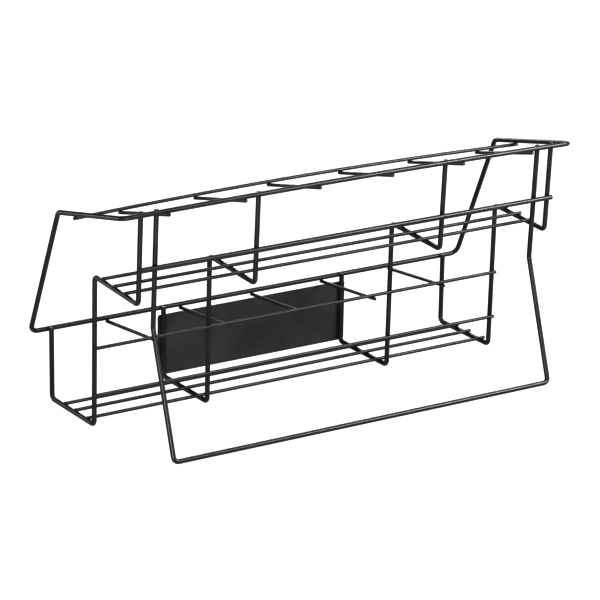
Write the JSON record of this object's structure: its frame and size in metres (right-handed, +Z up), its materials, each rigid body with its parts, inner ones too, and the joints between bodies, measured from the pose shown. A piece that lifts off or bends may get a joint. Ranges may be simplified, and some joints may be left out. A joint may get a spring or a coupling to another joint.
{
  "type": "stepped wire rack",
  "caption": "Black welded wire rack that stands on a counter, with a low and a high tier divided into cells, a folded rim, a splayed prop leg and a thin sign plate.",
  "frame": {"origin": "on the counter, in the middle of the rack's footprint", "axes": "+X along the rack, +Y towards the low tier and its plate, +Z up"},
  "size_m": [0.55, 0.2428, 0.2643],
  "materials": {
    "wire": "satin black powder coat",
    "plate": "smooth semi-gloss black"
  },
  "bodies": {
    "root": {"main_loop": "wire", "step_frame_1": "wire", "step_frame_2": "wire", "step_frame_3": "wire", "step_frame_4": "wire", "leg": "wire", "lip_rail": "wire", "top_rod": "wire", "top_divider_1": "wire", "top_divider_2": "wire", "top_divider_3": "wire", "top_divider_4": "wire", "top_divider_5": "wire", "top_divider_6": "wire", "low_divider_1": "wire", "low_divider_2": "wire", "low_divider_3": "wire", "low_divider_4": "wire", "low_divider_5": "wire", "mid_fence_rod": "wire", "low_fence_rod": "wire", "high_shelf_rod_1": "wire", "high_shelf_rod_2": "wire", "high_shelf_rod_3": "wire", "low_shelf_rod_1": "wire", "low_shelf_rod_2": "wire", "low_shelf_rod_3": "wire", "sign_plate": "plate"}
  },
  "joints": []
}
